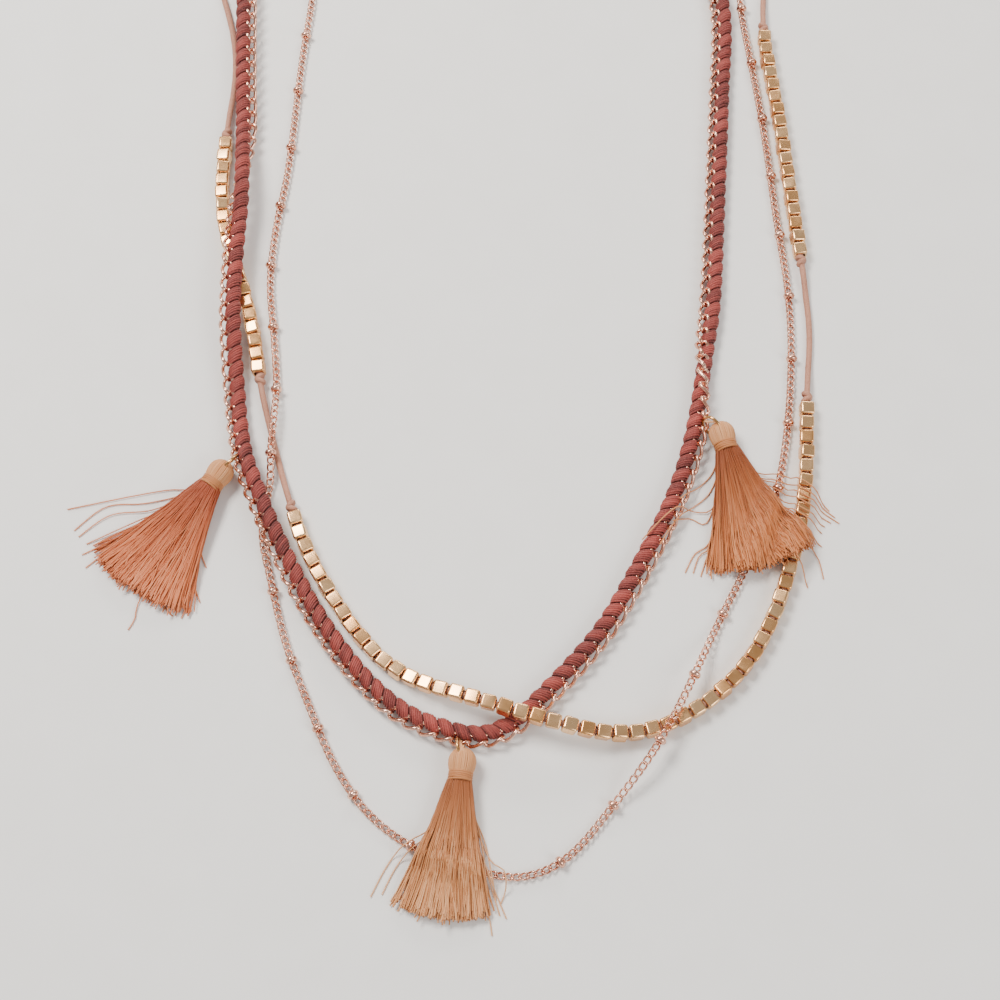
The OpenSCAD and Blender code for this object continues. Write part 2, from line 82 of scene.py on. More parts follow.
def addSoftbox(name, box):      # it faces the middle of the floor
    data = bpy.data.lights.new(name, "AREA")
    data.shape, (data.size, data.size_y) = "RECTANGLE", box["size"]
    data.energy, data.color = box["power"], box["colour"]
    lamp = placed(name, data)
    lamp.location = box["place"]
    bpy.context.view_layer.update()
    toMiddle = -lamp.location
    lamp.rotation_euler = toMiddle.to_track_quat("-Z", "Y").to_euler()


addCamera()
for boxName, box in softboxes.items():
    addSoftbox(boxName, box)
print("camera and lights placed")


# Nodes: a flow is one output socket, and arithmetic on it adds Math nodes

class Flow:
    def __init__(self, graph, socket):
        self.graph, self.socket = graph, socket

    def maths(self, operation, *values):
        return self.graph.node("ShaderNodeMath", {"operation": operation}, dict(enumerate(values)))

    def __add__(self, other):
        return self.maths("ADD", self, other)

    def __radd__(self, other):
        return self.maths("ADD", other, self)

    def __sub__(self, other):
        return self.maths("SUBTRACT", self, other)

    def __rsub__(self, other):
        return self.maths("SUBTRACT", other, self)

    def __mul__(self, other):
        return self.maths("MULTIPLY", self, other)

    def __rmul__(self, other):
        return self.maths("MULTIPLY", other, self)

    def clamped(self):
        return self.maths("MINIMUM", self.maths("MAXIMUM", self, 0), 1)


class Graph:
    def __init__(self, tree):
        self.tree = tree

    def node(self, kind, settings=None, inputs=None, output=0):
        made = self.tree.nodes.new(kind)
        for name, value in (settings or {}).items():
            setattr(made, name, value)
        for name, value in (inputs or {}).items():
            if isinstance(value, Flow):
                self.tree.links.new(value.socket, made.inputs[name])
            else:
                made.inputs[name].default_value = value
        return Flow(self, made.outputs[output])

    def blend(self, share, first, second):
        return self.node("ShaderNodeMix", {"data_type": "RGBA"}, {0: share, 6: first, 7: second}, 2)


def colour(code):
    parts = [int(code[i:i + 2], 16) / 255 for i in (0, 2, 4)]
    return tuple(p / 12.92 if p <= 0.04045 else ((p + 0.055) / 1.055) ** 2.4 for p in parts) + (1,)


# Materials

def newMaterial(name):
    material = bpy.data.materials.new(name)
    material.use_nodes = True
    shader = material.node_tree.nodes["Principled BSDF"]
    return material, Graph(material.node_tree), shader


def feed(graph, shader, **sockets):
    for name, flow in sockets.items():
        graph.tree.links.new(flow.socket, shader.inputs[name.replace("_", " ")])


def fix(shader, **sockets):
    for name, value in sockets.items():
        shader.inputs[name.replace("_", " ")].default_value = value


def noiseAt(graph, scale, detail=2.0):
    place = graph.node("ShaderNodeTexCoord", output="Object")
    return graph.node("ShaderNodeTexNoise", {"noise_dimensions": "3D"},
                      {"Vector": place, "Scale": scale, "Detail": detail, "Roughness": 0.55})


def attribute(graph, name):
    return graph.node("ShaderNodeAttribute", {"attribute_name": name}, output="Fac")


flossLook = {"deep": "48191a", "mid": "a0443c", "light": "ca7064", "bloom": "f3c3b8", "fibre": 5200,
             "patch": 45, "relief": 0.00006}


def flossMaterial():
    material, graph, shader = newMaterial("woundFloss")
    tone = attribute(graph, "tone")
    fibre = noiseAt(graph, flossLook["fibre"], 3)
    patch = noiseAt(graph, flossLook["patch"])
    # a low tone gives the deep colour: painted shade on the turns at the bundles' edges and on the core,
    # mixed with random tone and patches
    shadeAndPatch = (tone * 1.05 + patch * 0.6 - 0.28).clamped()
    base = graph.blend(shadeAndPatch, colour(flossLook["deep"]), colour(flossLook["mid"]))
    streak = ((fibre - 0.42) * 2.6).clamped()
    feed(graph, shader, Base_Color=graph.blend(streak * 0.55, base, colour(flossLook["light"])),
         Roughness=0.48 + fibre * 0.3,
         Normal=graph.node("ShaderNodeBump", None,
                           {"Strength": 0.5, "Distance": flossLook["relief"], "Height": fibre}))
    fix(shader, Sheen_Weight=0.12, Sheen_Roughness=0.45, Sheen_Tint=colour(flossLook["bloom"]),
        Specular_IOR_Level=0.3)
    return material


threadLook = {"bloom": "ffe3cf", "fibre": 4200, "relief": 0.00004}


def threadMaterial(name, root, body, tip):
    material, graph, shader = newMaterial(name)
    tone = attribute(graph, "tone")
    share = attribute(graph, "share")
    fibre = noiseAt(graph, threadLook["fibre"])
    base = graph.blend((share * 1.4 - 0.2).clamped(), colour(root), colour(body))
    paled = graph.blend((tone * 0.45 + (share - 0.85) * 0.5).clamped(), base, colour(tip))
    shaded = graph.blend(((0.3 - tone) * 1.6 + (0.42 - fibre)).clamped(), paled, colour(root))
    feed(graph, shader, Base_Color=shaded, Roughness=0.42 + fibre * 0.25,
         Normal=graph.node("ShaderNodeBump", None,
                           {"Strength": 0.35, "Distance": threadLook["relief"], "Height": fibre}))
    fix(shader, Sheen_Weight=0.08, Sheen_Roughness=0.35, Sheen_Tint=colour(threadLook["bloom"]),
        Specular_IOR_Level=0.35)
    return material


metalLook = {"cloud": 420, "scuff": 5200, "relief": 0.00005}


def metalMaterial(name, warm, pale, roughness, wear):
    material, graph, shader = newMaterial(name)
    tone = attribute(graph, "tone")
    cloud = noiseAt(graph, metalLook["cloud"])
    scuff = noiseAt(graph, metalLook["scuff"], 3)
    base = graph.blend((tone * 0.7 + cloud * 0.5 - 0.1).clamped(), colour(warm), colour(pale))
    feed(graph, shader, Base_Color=base,
         Roughness=(roughness + (cloud - 0.5) * 0.16 + (scuff - 0.5) * wear).clamped(),
         Normal=graph.node("ShaderNodeBump", None, {
             "Strength": 0.12, "Distance": metalLook["relief"], "Height": cloud + scuff * 0.3}))
    fix(shader, Metallic=1.0)
    return material


cordLook = {"deep": "8a523f", "pale": "b07a62", "raisedTint": "bf8b73", "weave": 3400, "patch": 300,
            "relief": 0.00008}


def cordMaterial():
    material, graph, shader = newMaterial("waxedCord")
    weave = graph.node("ShaderNodeTexVoronoi", {"feature": "F1"},
                       {"Vector": graph.node("ShaderNodeTexCoord", output="Object"),
                        "Scale": cordLook["weave"]})
    patch = noiseAt(graph, cordLook["patch"])
    base = graph.blend((patch * 1.3 - 0.15).clamped(), colour(cordLook["deep"]), colour(cordLook["pale"]))
    # the cells raised by the bump get the lighter colour and the dips between them the base colour
    raisedTint = graph.blend((weave * 0.9).clamped(), colour(cordLook["raisedTint"]), base)
    feed(graph, shader, Base_Color=raisedTint, Roughness=0.55 + patch * 0.2,
         Normal=graph.node("ShaderNodeBump", None,
                           {"Strength": 0.6, "Distance": cordLook["relief"], "Height": 1 - weave}))
    fix(shader, Sheen_Weight=0.08, Sheen_Roughness=0.4, Specular_IOR_Level=0.35)
    return material


floorLook = {"shade": "e9e6e1", "light": "efede9", "grain": 90}


def floorMaterial():
    material, graph, shader = newMaterial("paleFloor")
    grain = noiseAt(graph, floorLook["grain"])
    feed(graph, shader,
         Base_Color=graph.blend(grain, colour(floorLook["shade"]), colour(floorLook["light"])))
    fix(shader, Roughness=0.75)
    return material


def addFloor():
    half = studio["floorSize"] / 2
    mesh = bpy.data.meshes.new("paleFloor")
    mesh.from_pydata([(-half, -half, 0), (half, -half, 0), (half, half, 0), (-half, half, 0)],
                     [], [(0, 1, 2, 3)])
    mesh.materials.append(floorMaterial())
    floor = placed("paleFloor", mesh)


def addSky():
    world = bpy.data.worlds.new("softSky")
    world.use_nodes = True
    sky = world.node_tree.nodes["Background"]
    sky.inputs["Color"].default_value = studio["skyColour"]
    sky.inputs["Strength"].default_value = studio["skyStrength"]
    bpy.context.scene.world = world


addFloor()
addSky()
floss = flossMaterial()
peachThread = threadMaterial("peachThread", "96552c", "cd8b55", "e8bb90")
apricotThread = threadMaterial("apricotThread", "85411b", "bf6e38", "dc9d6c")
salmonThread = threadMaterial("salmonThread", "94411f", "ca6d3d", "e09c72")
beadGold = metalMaterial("beadGold", "e0a062", "f6ca96", 0.26, 0.1)
linkGold = metalMaterial("roseGoldLinks", "d4957a", "f0c0a8", 0.22, 0.08)
fittingGold = metalMaterial("fittingGold", "c9955f", "e6bb88", 0.22, 0.1)
waxedCord = cordMaterial()
print("materials made")


# The strands' routes, the same points as in the part's source

strand = {
    "middle": (-0.00787, 0.04736), "leftGather": (-0.052, 0.1595), "rightGather": (0.047, 0.1595),
    "ropeD": 3.4 * mm, "linkWidth": 2.6 * mm, "gap": 0.15 * mm, "beadSize": 2.8 * mm, "beadTurn": 9,
    "cordD": 1.3 * mm, "knotLength": 2 * mm, "fineD": 1.7 * mm, "capDepth": 4.5 * mm,
    "endHeight": 2.5 * mm, "ropeReach": 2 * mm, "beadReach": 5 * mm, "fineReach": 2 * mm,
    "stepsPerBend": 8, "spacing": 2 * mm,
}


def lead(gather, angle, distance):
    a = math.radians(angle)
    return gather[0] + distance * math.cos(a), gather[1] + distance * math.sin(a)


left, right = strand["leftGather"], strand["rightGather"]
ropeRoute = [
    lead(left, 255, 0.009), lead(left, 255, 0.016), lead(left, 255, 0.022), (-0.0572, 0.119),
    (-0.0563, 0.099), (-0.0546, 0.070), (-0.055, 0.0555), (-0.0548, 0.037), (-0.052, 0.0125),
    (-0.0473, -0.001), (-0.0428, -0.011), (-0.0348, -0.0255), (-0.0257, -0.0375), (-0.018, -0.044),
    (-0.011, -0.047), (-0.004, -0.0485), (0.002, -0.0463), (0.0095, -0.0393), (0.0195, -0.0278),
    (0.027, -0.015), (0.0343, -0.0005), (0.039, 0.014), (0.0425, 0.0325), (0.0445, 0.0445),
    (0.0465, 0.0685), (0.0485, 0.094), (0.0499, 0.118),
    lead(right, 266, 0.022), lead(right, 266, 0.016), lead(right, 266, 0.009)]
beadRoute = [
    lead(left, 225, 0.009), lead(left, 225, 0.017), lead(left, 225, 0.021), (-0.0655, 0.133),
    (-0.0608, 0.117), (-0.0583, 0.104), (-0.0593, 0.084), (-0.0595, 0.071), (-0.0583, 0.0605),
    (-0.0546, 0.050), (-0.0505, 0.035), (-0.0493, 0.026), (-0.046, 0.013), (-0.0408, -0.0045),
    (-0.0363, -0.015), (-0.0294, -0.026), (-0.0218, -0.035), (-0.0135, -0.0393), (-0.002, -0.0432),
    (0.0075, -0.0462), (0.0165, -0.0483), (0.026, -0.0486), (0.0358, -0.0447), (0.0457, -0.037),
    (0.0527, -0.026), (0.0573, -0.0135), (0.0605, -0.001), (0.062, 0.013), (0.0623, 0.0215),
    (0.0643, 0.037), (0.0632, 0.055), (0.062, 0.071), (0.0605, 0.091), (0.0585, 0.110),
    (0.0595, 0.124), (0.062, 0.136),
    lead(right, 321, 0.021), lead(right, 321, 0.017), lead(right, 321, 0.009)]
chainRoute = [
    lead(left, 294, 0.009), lead(left, 294, 0.015), lead(left, 294, 0.021), (-0.042, 0.125),
    (-0.0438, 0.104), (-0.0456, 0.0765), (-0.0475, 0.0625), (-0.0482, 0.049), (-0.0468, 0.0365),
    (-0.0456, 0.023), (-0.046, 0.012), (-0.046, 0.003), (-0.0472, -0.007), (-0.045, -0.017),
    (-0.0415, -0.030), (-0.0365, -0.0425), (-0.031, -0.0545), (-0.024, -0.064), (-0.014, -0.0708),
    (-0.002, -0.0746), (0.0055, -0.075), (0.0133, -0.071), (0.0215, -0.0615), (0.029, -0.052),
    (0.0355, -0.0405), (0.0425, -0.026), (0.049, -0.0135), (0.0543, -0.002), (0.0572, 0.009),
    (0.0592, 0.022), (0.0603, 0.036), (0.0602, 0.049), (0.059, 0.0625), (0.058, 0.0775),
    (0.057, 0.0905), (0.0555, 0.1045), (0.054, 0.121),
    lead(right, 293.5, 0.022), lead(right, 293.5, 0.016), lead(right, 293.5, 0.009)]


def smoothed(route):
    p = np.array([route[0], *route, route[-1]])
    line = []
    for a, b, c, d in zip(p, p[1:], p[2:], p[3:]):
        for t in np.arange(strand["stepsPerBend"]) / strand["stepsPerBend"]:
            line.append((2 * b + (c - a) * t + (2 * a - 5 * b + 4 * c - d) * t ** 2
                         + (3 * b - a - 3 * c + d) * t ** 3) / 2)
    return np.array([*line, p[-1]])


def distances(line):
    return np.concatenate([[0], np.cumsum(np.linalg.norm(np.diff(line, axis=0), axis=1))])


def rounded(line, reach):        # each place is the mean of three that lie a reach apart
    s = distances(line)
    places = np.arange(0, s[-1] - strand["spacing"] / 2, strand["spacing"])
    r = np.minimum(np.minimum(reach, places), s[-1] - places)

    def at(q):
        return np.stack([np.interp(q, s, line[:, 0]), np.interp(q, s, line[:, 1])], 1)
    return np.vstack([(at(places - r) + at(places) + at(places + r)) / 3, line[-1:]])


def softStep(t):
    t = np.clip(t, 0, 1)
    return t * t * (3 - 2 * t)


def eased(rows, s):      # rows of (distance, value), with soft steps between them
    value = rows[0][1] + 0 * s
    for (s0, v0), (s1, v1) in zip(rows, rows[1:]):
        value = value + (v1 - v0) * softStep((s - s0) / (s1 - s0))
    return value


class Strand:
    def __init__(self, route, reach, height):
        self.plan = rounded(smoothed(route), reach) - np.array(strand["middle"])
        self.s = distances(self.plan)
        self.length = self.s[-1]
        self.height = height

    def at(self, s):
        s = np.clip(np.atleast_1d(s), 0, self.length)
        return np.stack([np.interp(s, self.s, self.plan[:, 0]), np.interp(s, self.s, self.plan[:, 1]),
                         self.height(s)], 1)

    def axes(self, s, reach=1.2 * mm):       # forward, outward and upward at distances along it
        s = np.atleast_1d(s)
        forward = normal(self.at(s + reach) - self.at(s - reach))
        outward = normal(np.cross(forward, (0, 0, 1)))
        return forward, outward, np.cross(outward, forward)


def normal(v):
    return v / np.linalg.norm(v, axis=-1, keepdims=True)


def inMetres(rows):
    return [(s * mm, v) for s, v in rows]


beadTurn = math.radians(strand["beadTurn"])
beadHalf = strand["beadSize"] / 2 * (math.cos(beadTurn) + math.sin(beadTurn))
beadHigh = 2 * beadHalf + strand["gap"]
cordLow = strand["cordD"] / 2
fineLow = strand["fineD"] / 2
ropeR = strand["ropeD"] / 2
endHeight = strand["endHeight"]
ropeTurns = inMetres([(58, -180), (97, 0), (290.5, 0), (331.5, 180)])
overCord = strand["cordD"] + strand["gap"]
overFine = strand["fineD"] + 2 * strand["gap"]


def ropeTurn(s):
    return np.radians(eased(ropeTurns, s))


def ropeHeight(s):
    end = ropeLength / mm
    lifts = inMetres([(0, endHeight - ropeR), (8, endHeight - ropeR), (20, overCord), (62, overCord),
                      (89, beadHigh), (110, beadHigh), (130, 0), (136, 0), (148, overFine),
                      (162, overFine), (177, 0), (end - 20, 0), (end - 8, endHeight - ropeR)])
    chainLow = strand["linkWidth"] / 2 + strand["gap"] / 2 - (ropeR - 0.05 * mm) * np.sin(ropeTurn(s))
    return eased(lifts, s) + np.maximum(ropeR, chainLow)


def beadHeight(s):
    end = beadLength / mm
    over = beadHalf + strand["ropeD"] + strand["gap"]
    return eased(inMetres([
        (0, endHeight), (7, endHeight), (17, cordLow), (59.5, cordLow), (69.5, beadHalf),
        (134.5, beadHalf), (141.5, cordLow), (152, cordLow), (159.5, beadHalf), (200.5, beadHalf),
        (222, over), (232, over), (253.5, beadHalf), (336.5, beadHalf), (344, cordLow),
        (357.5, cordLow), (365, beadHalf), (427.5, beadHalf), (437, cordLow), (end - 17, cordLow),
        (end - 7, endHeight)]), s)


def fineHeight(s):
    end = fineLength / mm
    overCords = strand["cordD"] + 2 * strand["gap"] + fineLow
    overBeads = beadHigh + strand["gap"] + fineLow
    return eased(inMetres([
        (0, endHeight), (7, endHeight), (17, fineLow), (126, fineLow), (135, overCords),
        (144.3, overCords), (151.5, fineLow), (273, fineLow), (287, overBeads), (302, overBeads),
        (317, fineLow), (end - 17, fineLow), (end - 7, endHeight)]), s)


rope = Strand(ropeRoute, strand["ropeReach"], ropeHeight)
beads = Strand(beadRoute, strand["beadReach"], beadHeight)
fine = Strand(chainRoute, strand["fineReach"], fineHeight)
ropeLength, beadLength, fineLength = rope.length, beads.length, fine.length
print("strands laid:", *(round(s.length / mm, 1) for s in (rope, beads, fine)), "mm")


# Geometry trees: threads and wires along lines, links at places, and whole pieces at places

def startTree(name, sockets):
    tree = bpy.data.node_groups.new(name, "GeometryNodeTree")
    tree.interface.new_socket("Geometry", in_out="INPUT", socket_type="NodeSocketGeometry")
    for label, kind in sockets:
        tree.interface.new_socket(label, in_out="INPUT", socket_type=kind)
    tree.interface.new_socket("Geometry", in_out="OUTPUT", socket_type="NodeSocketGeometry")
    source = tree.nodes.new("NodeGroupInput")
    graph = Graph(tree)
    return graph, {s.name: Flow(graph, s) for s in source.outputs if s.name}


def endTree(graph, geometry, material):
    real = graph.node("GeometryNodeRealizeInstances", None, {"Geometry": geometry})
    smooth = graph.node("GeometryNodeSetShadeSmooth", None, {"Geometry": real})
    painted = graph.node("GeometryNodeSetMaterial", None, {"Geometry": smooth, "Material": material})
    out = graph.tree.nodes.new("NodeGroupOutput")
    graph.tree.links.new(painted.socket, out.inputs[0])
    return graph.tree


def sweepTree():
    graph, given = startTree("threadsAlongLines", [
        ("Sides", "NodeSocketInt"), ("Material", "NodeSocketMaterial")])
    lines = graph.node("GeometryNodeMeshToCurve", None, {"Mesh": given["Geometry"]})
    radius = graph.node("GeometryNodeInputNamedAttribute", {"data_type": "FLOAT"},
                        {"Name": "thickness"})
    section = graph.node("GeometryNodeCurvePrimitiveCircle", {"mode": "RADIUS"},
                         {"Resolution": given["Sides"], "Radius": 1.0})
    swept = graph.node("GeometryNodeCurveToMesh", None,
                       {"Curve": lines, "Profile Curve": section, "Fill Caps": True, "Scale": radius})
    return endTree(graph, swept, given["Material"])


def facing(graph):
    x, y = (graph.node("GeometryNodeInputNamedAttribute", {"data_type": "FLOAT_VECTOR"}, {"Name": name})
            for name in ("forward", "side"))
    return graph.node("FunctionNodeAxesToRotation", {"primary_axis": "X", "secondary_axis": "Y"},
                      {0: x, 1: y})


def linkTree():
    graph, given = startTree("curbLinksAtPlaces", [
        ("Length", "NodeSocketFloat"), ("Width", "NodeSocketFloat"), ("Wire", "NodeSocketFloat"),
        ("Twist", "NodeSocketFloat"), ("Points", "NodeSocketInt"), ("Sides", "NodeSocketInt"),
        ("Material", "NodeSocketMaterial")])
    ring = graph.node("GeometryNodeCurvePrimitiveCircle", {"mode": "RADIUS"},
                      {"Resolution": given["Points"], "Radius": 1.0})
    place = graph.node("GeometryNodeInputPosition")
    split = graph.node("ShaderNodeSeparateXYZ", None, {"Vector": place})
    across = Flow(graph, split.socket.node.outputs["Y"])
    half = 0.5 * given["Length"] - 0.5 * given["Wire"]
    wide = 0.5 * given["Width"] - 0.5 * given["Wire"]
    bent = graph.node("ShaderNodeCombineXYZ", None, {
        "X": split * half, "Y": across * wide, "Z": 2 * split * across * given["Twist"]})
    oval = graph.node("GeometryNodeSetPosition", None, {"Geometry": ring, "Position": bent})
    section = graph.node("GeometryNodeCurvePrimitiveCircle", {"mode": "RADIUS"},
                         {"Resolution": given["Sides"], "Radius": 0.5 * given["Wire"]})
    link = graph.node("GeometryNodeCurveToMesh", None, {"Curve": oval, "Profile Curve": section})
    chain = graph.node("GeometryNodeInstanceOnPoints", None, {
        "Points": given["Geometry"], "Instance": link, "Rotation": facing(graph)})
    return endTree(graph, chain, given["Material"])


def pieceTree():
    graph, given = startTree("piecesAtPlaces", [
        ("Piece", "NodeSocketObject"), ("Material", "NodeSocketMaterial")])
    piece = graph.node("GeometryNodeObjectInfo", None, {"Object": given["Piece"]}, "Geometry")
    pieces = graph.node("GeometryNodeInstanceOnPoints", None, {
        "Points": given["Geometry"], "Instance": piece, "Rotation": facing(graph)})
    return endTree(graph, pieces, given["Material"])


def madeBy(tree, source, name, **values):
    modifier = source.modifiers.new("shape", "NODES")
    modifier.node_group = tree
    for item in tree.interface.items_tree:
        if item.item_type == "SOCKET" and item.in_out == "INPUT" and item.name in values:
            modifier[item.identifier] = values[item.name]
    bpy.context.view_layer.update()
    evaluated = source.evaluated_get(bpy.context.evaluated_depsgraph_get())
    mesh = bpy.data.meshes.new_from_object(evaluated)
    mesh.name = name
    mesh.materials.clear()
    mesh.materials.append(values["Material"])
    mesh.polygons.foreach_set("material_index", [0] * len(mesh.polygons))
    old = source.data
    bpy.data.objects.remove(source)
    bpy.data.meshes.remove(old)
    return placed(name, mesh)


def addAttribute(mesh, name, values):
    values = np.asarray(values, np.float32)
    vector = values.ndim == 2
    made = mesh.attributes.new(name, "FLOAT_VECTOR" if vector else "FLOAT", "POINT")
    made.data.foreach_set("vector" if vector else "value", values.ravel())


def linesObject(lines):      # each line: points, closed, thickness, tone, share
    points, edges, facts = [], [], {"thickness": [], "tone": [], "share": []}
    for line in lines:
        first, count = len(points), len(line["points"])
        points.extend(map(tuple, line["points"]))
        edges.extend((first + i, first + i + 1) for i in range(count - 1))
        if line.get("closed"):
            edges.append((first + count - 1, first))
        for name in facts:
            value = line.get(name, 0.5)
            facts[name].extend(value if np.ndim(value) else [value] * count)
    mesh = bpy.data.meshes.new("lines")
    mesh.from_pydata(points, edges, [])
    for name, values in facts.items():
        addAttribute(mesh, name, values)
    return placed("lines", mesh)


def placesObject(centres, forward, side, tone):
    mesh = bpy.data.meshes.new("places")
    mesh.from_pydata([tuple(c) for c in centres], [], [])
    addAttribute(mesh, "forward", forward)
    addAttribute(mesh, "side", side)
    addAttribute(mesh, "tone", tone)
    return placed("places", mesh)


def joined(name, parts):
    with bpy.context.temp_override(active_object=parts[0], selected_editable_objects=parts):
        bpy.ops.object.join()
    parts[0].name = parts[0].data.name = name
    return parts[0]


def finished(piece, slot, *nodes):
    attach(piece, "root")
    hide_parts(*nodes)
    piece.data.calc_loop_triangles()
    print(piece.name, "made:", len(piece.data.loop_triangles), "triangles")


sweep, setLinks, setPieces = sweepTree(), linkTree(), pieceTree()


# Where the separate links and beads of the solids are

def islandCentres(node):
    bm = bmesh.new()
    bm.from_mesh(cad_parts[node].data)
    bmesh.ops.remove_doubles(bm, verts=bm.verts, dist=1e-6)
    bm.verts.ensure_lookup_table()
    seen, centres = set(), []
    for start in bm.verts:
        if start.index in seen:
            continue
        island, stack = [], [start]
        seen.add(start.index)
        while stack:
            v = stack.pop()
            island.append(v.co)
            for edge in v.link_edges:
                other = edge.other_vert(v)
                if other.index not in seen:
                    seen.add(other.index)
                    stack.append(other)
        corners = np.array(island)
        centres.append((corners.min(0) + corners.max(0)) / 2)
    bm.free()
    return np.array(centres)


def alongStrand(centres, path):
    s = np.arange(0, path.length, 0.25 * mm)
    line = path.at(s)
    nearest = np.array([s[np.argmin(np.linalg.norm(line[:, :2] - c[:2], axis=1))] for c in centres])
    order = np.argsort(nearest)
    return centres[order], nearest[order]


linkCentres, linkPlaces = alongStrand(islandCentres("side_chain"), rope)
beadCentres, beadPlaces = alongStrand(islandCentres("cube_beads"), beads)
print("found", len(linkCentres), "links and", len(beadCentres), "beads")


# The wound floss: a bundle of tilted turns for each link of the side chain

flossWrap = {"turns": 6, "thread": 0.24 * mm, "core": 0.96 * mm, "swell": 0.5 * mm, "uneven": 0.03 * mm,
             "slant": 0.62, "slantSpread": 0.05, "inset": 0.06, "bundleTones": (0.25, 0.85),
             "toneSpread": 0.25, "bareEnd": 1 * mm, "points": 16, "sides": 5, "coreStart": 0.5 * mm,
             "coreStep": 1.5 * mm, "coreSides": 12, "seed": 11}


def wrapTurn(s, radius, slant):
    centre = rope.at(s)[0]
    forward, outward, upward = (v[0] for v in rope.axes(s))
    a = np.linspace(0, 2 * math.pi, flossWrap["points"], endpoint=False)[:, None]
    lateral = radius * np.cos(a)
    return centre + lateral * outward + radius * np.sin(a) * upward + slant * lateral * forward


def makeFloss():
    rng = random.Random(flossWrap["seed"])
    step = np.median(np.diff(linkPlaces))
    before = np.arange(linkPlaces[0] - step, flossWrap["bareEnd"], -step)[::-1]
    after = np.arange(linkPlaces[-1] + step, rope.length - flossWrap["bareEnd"], step)
    bundles = np.concatenate([before, linkPlaces, after])
    bounds = np.concatenate([[bundles[0] - step / 2], (bundles[1:] + bundles[:-1]) / 2,
                             [bundles[-1] + step / 2]])
    uneven, slantSpread, toneSpread = (flossWrap[n] for n in ("uneven", "slantSpread", "toneSpread"))
    inset, lines = flossWrap["inset"], []
    for start, end in zip(bounds, bounds[1:]):
        bundleTone = rng.uniform(*flossWrap["bundleTones"])
        for k in range(flossWrap["turns"]):
            u = (k + 0.5) / flossWrap["turns"]
            rise = math.sqrt(max(0, 1 - (2 * u - 1) ** 2))      # a bundle is thickest in its middle
            radius = flossWrap["core"] + flossWrap["swell"] * rise + rng.uniform(-uneven, uneven)
            s = start + (end - start) * (inset + (1 - 2 * inset) * u)
            # turns at a bundle's edges, where they dip between bundles, get a lower tone and so a darker
            # colour: painted shade
            tone = bundleTone * (0.1 + 0.9 * rise) + rng.uniform(-toneSpread, toneSpread)
            slant = flossWrap["slant"] + rng.uniform(-slantSpread, slantSpread)
            lines.append({"points": wrapTurn(s, radius, slant), "closed": True,
                          "thickness": flossWrap["thread"] * rng.uniform(0.9, 1.1),
                          "tone": min(1, max(0, tone))})
    wound = madeBy(sweep, linesObject(lines), "woundFloss", Sides=flossWrap["sides"], Material=floss)
    places = np.arange(flossWrap["coreStart"], rope.length, flossWrap["coreStep"])
    # the core under the turns has the lowest tone and so the deep colour: painted shade where it shows
    # between the bundles
    middle = {"points": rope.at(places), "thickness": flossWrap["core"], "tone": 0.0}
    core = madeBy(sweep, linesObject([middle]), "flossCore", Sides=flossWrap["coreSides"], Material=floss)
    finished(joined("woundFloss", [wound, core]), "wrap_thread", "wrapped_rope")


makeFloss()


# The side chain's twisted links, at the places of the solid ones

sideChain = {"length": 4.6 * mm, "width": 2.8 * mm, "wire": 0.76 * mm, "twist": -0.9 * mm,
             "points": 14, "sides": 6, "lean": 12, "seed": 5}


def makeSideChain():
    rng = random.Random(sideChain["seed"])
    padded = np.vstack([2 * linkCentres[0] - linkCentres[1], linkCentres,
                        2 * linkCentres[-1] - linkCentres[-2]])
    forward = normal(padded[2:] - padded[:-2])
    _, outward, upward = rope.axes(linkPlaces)
    turn = ropeTurn(linkPlaces) + math.radians(sideChain["lean"])
    side = outward * np.cos(turn)[:, None] + upward * np.sin(turn)[:, None]
    tone = [rng.random() for _ in linkCentres]
    links = madeBy(setLinks, placesObject(linkCentres, forward, side, tone), "sideLinks",
                   Length=sideChain["length"], Width=sideChain["width"], Wire=sideChain["wire"],
                   Twist=sideChain["twist"], Points=sideChain["points"], Sides=sideChain["sides"],
                   Material=linkGold)
    finished(links, "rose_gold_links", "side_chain")


makeSideChain()


# The fine chain: small twisted links with a small drum at every tenth place

fineChain = {"length": 2.3 * mm, "width": 1.6 * mm, "wire": 0.42 * mm, "twist": 0.42 * mm,
             "pitch": 1.46 * mm, "lean": 9, "points": 12, "sides": 5, "everyDrum": 10, "drumD": 2.4 * mm,
             "drumWidth": 1.1 * mm, "drumHole": 0.3 * mm, "drumSides": 12, "lower": 0.12 * mm,
             "raise": 0.35 * mm, "seed": 8}


def ringedObject(name, rings):       # a drilled piece: rings of as many points, joined in a closed round
    around = len(rings[0])
    points = [point for ring in rings for point in ring]
    faces = []
    for j in range(len(rings)):
        n = (j + 1) % len(rings)
        for k in range(around):
            m = (k + 1) % around
            faces.append((j * around + k, n * around + k, n * around + m, j * around + m))
    mesh = bpy.data.meshes.new(name)
    mesh.from_pydata(points, [], faces)
    bm = bmesh.new()
    bm.from_mesh(mesh)
    bmesh.ops.remove_doubles(bm, verts=bm.verts, dist=1e-7)
    bmesh.ops.recalc_face_normals(bm, faces=bm.faces)
    bm.to_mesh(mesh)
    bm.free()
    return bpy.data.objects.new(name, mesh)


def drumObject():
    hole, r, half = fineChain["drumHole"], fineChain["drumD"] / 2, fineChain["drumWidth"] / 2
    profile = [(-half * 0.8, hole), (-half, r * 0.55), (-half * 0.75, r * 0.88), (0, r),
               (half * 0.75, r * 0.88), (half, r * 0.55), (half * 0.8, hole)]
    turns = [2 * math.pi * k / fineChain["drumSides"] for k in range(fineChain["drumSides"])]
    rings = [[(x, radius * math.cos(a), radius * math.sin(a)) for a in turns] for x, radius in profile]
    return ringedObject("drum", rings)


